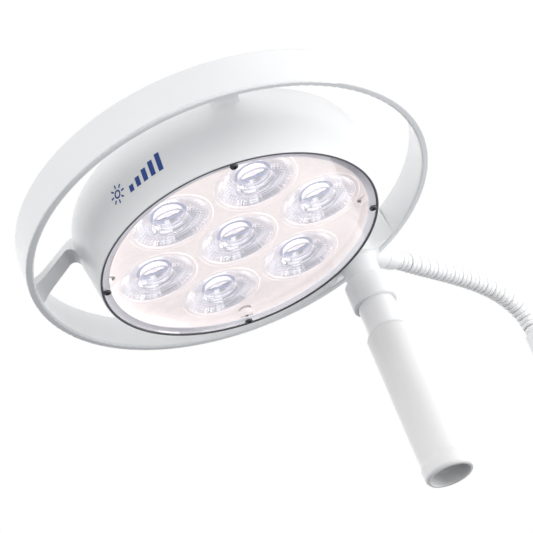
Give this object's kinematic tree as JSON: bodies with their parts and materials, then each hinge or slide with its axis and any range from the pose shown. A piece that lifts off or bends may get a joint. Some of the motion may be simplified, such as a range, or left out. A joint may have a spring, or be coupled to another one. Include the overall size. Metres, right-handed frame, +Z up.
{
  "type": "dental operating light",
  "caption": "Round LED operating light head with a grab rail, pull-off handle and self-supporting flexible arm ending in a mounting spigot.",
  "frame": {"origin": "centre of the spigot's shoulder face, on the axis of the 16 mm pin", "axes": "+Z up along the spigot, away from the pin; the lamp head lies towards -X and lights downwards along -Z; the part is even about the XZ plane"},
  "size_m": [0.4953, 0.2908, 0.2404],
  "materials": {
    "white_shell": "fine satin moulding, cool white",
    "white_arm": "satin white plastic-coated steel",
    "window": "clear, polished",
    "lens": "clear optical plastic, fluted wall",
    "tray": "glossy pearl white",
    "gasket": "matt grey",
    "dark_screw": "blackened steel",
    "zinc_screw": "bright zinc plate",
    "board": "white solder mask on aluminium",
    "emitter": "phosphor yellow under clear dome",
    "sink": "natural aluminium",
    "circuit": "green board",
    "component": "dark moulded parts",
    "nylon": "natural nylon",
    "lead": "pale grey sheath",
    "steel": "ground steel",
    "black_rubber": "matt black",
    "blue_button": "soft-touch blue"
  },
  "bodies": {
    "stand_end": {"lower_ferrule": "white_arm", "arm_tube": "white_arm", "ferrule_screws": "zinc_screw", "mount_spigot": "steel", "spigot_grommet": "black_rubber"},
    "section_01": {"arm_section_01": "white_arm"},
    "section_02": {"arm_section_02": "white_arm"},
    "section_03": {"arm_section_03": "white_arm"},
    "section_04": {"arm_section_04": "white_arm"},
    "section_05": {"arm_section_05": "white_arm"},
    "section_06": {"arm_section_06": "white_arm"},
    "section_07": {"arm_section_07": "white_arm"},
    "section_08": {"arm_section_08": "white_arm"},
    "section_09": {"arm_section_09": "white_arm"},
    "section_10": {"arm_section_10": "white_arm"},
    "section_11": {"arm_section_11": "white_arm"},
    "section_12": {"arm_section_12": "white_arm"},
    "section_13": {"arm_section_13": "white_arm"},
    "section_14": {"arm_section_14": "white_arm"},
    "section_15": {"arm_section_15": "white_arm"},
    "neck": {"head_ferrule": "white_arm", "swivel_shaft": "steel", "retaining_ring": "steel", "stop_pin": "steel"},
    "head": {"housing_shell": "white_shell", "rear_cover": "white_shell", "cover_screws": "zinc_screw", "window_pane": "window", "window_gasket": "gasket", "window_screws": "dark_screw", "lens_carrier": "tray", "lens_1": "lens", "lens_2": "lens", "lens_3": "lens", "lens_4": "lens", "lens_5": "lens", "lens_6": "lens", "lens_7": "lens", "led_boards": "board", "led_emitters": "emitter", "heat_sink": "sink", "sink_screws": "zinc_screw", "driver_posts": "nylon", "driver_board": "circuit", "driver_parts": "component", "head_lead": "lead", "grab_rail": "white_shell", "rail_screws": "zinc_screw", "hub_body": "white_shell", "arm_socket": "white_shell", "hub_screws": "zinc_screw", "swivel_bushes": "nylon", "handle_collar": "white_shell", "handle_core": "white_shell", "grip_o_rings": "black_rubber", "button_spring": "steel", "button_switch": "component"},
    "grip": {"handle_grip": "white_shell"},
    "button": {"button_cap": "blue_button"}
  },
  "joints": [
    {"name": "arm_bend_1", "type": "hinge", "parent": "stand_end", "child": "section_01", "pos_m": [0, 0, 0.1], "axis": [0, 1, 0], "range_deg": [-5.5, 5.5]},
    {"name": "arm_sway_1", "type": "hinge", "parent": "section_01", "child": "section_02", "pos_m": [-0.00233, 0, 0.11033], "axis": [0.9101, 0, 0.4143], "range_deg": [-5.5, 5.5]},
    {"name": "arm_bend_2", "type": "hinge", "parent": "section_02", "child": "section_03", "pos_m": [-0.00833, 0, 0.11909], "axis": [0, 1, 0], "range_deg": [-5.5, 5.5]},
    {"name": "arm_sway_2", "type": "hinge", "parent": "section_03", "child": "section_04", "pos_m": [-0.01659, 0, 0.1258], "axis": [0.5335, 0, 0.8458], "range_deg": [-5.5, 5.5]},
    {"name": "arm_bend_3", "type": "hinge", "parent": "section_04", "child": "section_05", "pos_m": [-0.02611, 0, 0.13057], "axis": [0, 1, 0], "range_deg": [-5.5, 5.5]},
    {"name": "arm_sway_3", "type": "hinge", "parent": "section_05", "child": "section_06", "pos_m": [-0.03627, 0, 0.13379], "axis": [0.2409, 0, 0.9706], "range_deg": [-5.5, 5.5]},
    {"name": "arm_bend_4", "type": "hinge", "parent": "section_06", "child": "section_07", "pos_m": [-0.04673, 0, 0.13584], "axis": [0, 1, 0], "range_deg": [-5.5, 5.5]},
    {"name": "arm_sway_4", "type": "hinge", "parent": "section_07", "child": "section_08", "pos_m": [-0.05733, 0, 0.13708], "axis": [0.087, 0, 0.9962], "range_deg": [-5.5, 5.5]},
    {"name": "arm_bend_5", "type": "hinge", "parent": "section_08", "child": "section_09", "pos_m": [-0.06797, 0, 0.13778], "axis": [0, 1, 0], "range_deg": [-5.5, 5.5]},
    {"name": "arm_sway_5", "type": "hinge", "parent": "section_09", "child": "section_10", "pos_m": [-0.07863, 0, 0.13814], "axis": [0.0232, 0, 0.9997], "range_deg": [-5.5, 5.5]},
    {"name": "arm_bend_6", "type": "hinge", "parent": "section_10", "child": "section_11", "pos_m": [-0.08929, 0, 0.13831], "axis": [0, 1, 0], "range_deg": [-5.5, 5.5]},
    {"name": "arm_sway_6", "type": "hinge", "parent": "section_11", "child": "section_12", "pos_m": [-0.09996, 0, 0.13838], "axis": [0.0036, 0, 1], "range_deg": [-5.5, 5.5]},
    {"name": "arm_bend_7", "type": "hinge", "parent": "section_12", "child": "section_13", "pos_m": [-0.11063, 0, 0.1384], "axis": [0, 1, 0], "range_deg": [-5.5, 5.5]},
    {"name": "arm_sway_7", "type": "hinge", "parent": "section_13", "child": "section_14", "pos_m": [-0.12129, 0, 0.13841], "axis": [0.0001, 0, 1], "range_deg": [-5.5, 5.5]},
    {"name": "arm_bend_8", "type": "hinge", "parent": "section_14", "child": "section_15", "pos_m": [-0.13196, 0, 0.13841], "axis": [0, 1, 0], "range_deg": [-5.5, 5.5]},
    {"name": "arm_sway_8", "type": "hinge", "parent": "section_15", "child": "neck", "pos_m": [-0.14263, 0, 0.13841], "axis": [0, 0, 1], "range_deg": [-5.5, 5.5]},
    {"name": "head_swivel", "type": "hinge", "parent": "neck", "child": "head", "pos_m": [-0.17183, 0, 0.13841], "axis": [1, 0, 0], "range_deg": [-155, 155]},
    {"name": "grip_pull_off", "type": "slide", "parent": "head", "child": "grip", "axis": [-0.0332, 0, -0.9995], "range_m": [0, 0.07]},
    {"name": "button_press", "type": "slide", "parent": "head", "child": "button", "axis": [0, 0, -1], "range_m": [0, 0.0015], "stiffness_N_per_m": 900, "springref_m": -0.0012, "deforming": ["button_spring"]}
  ]
}
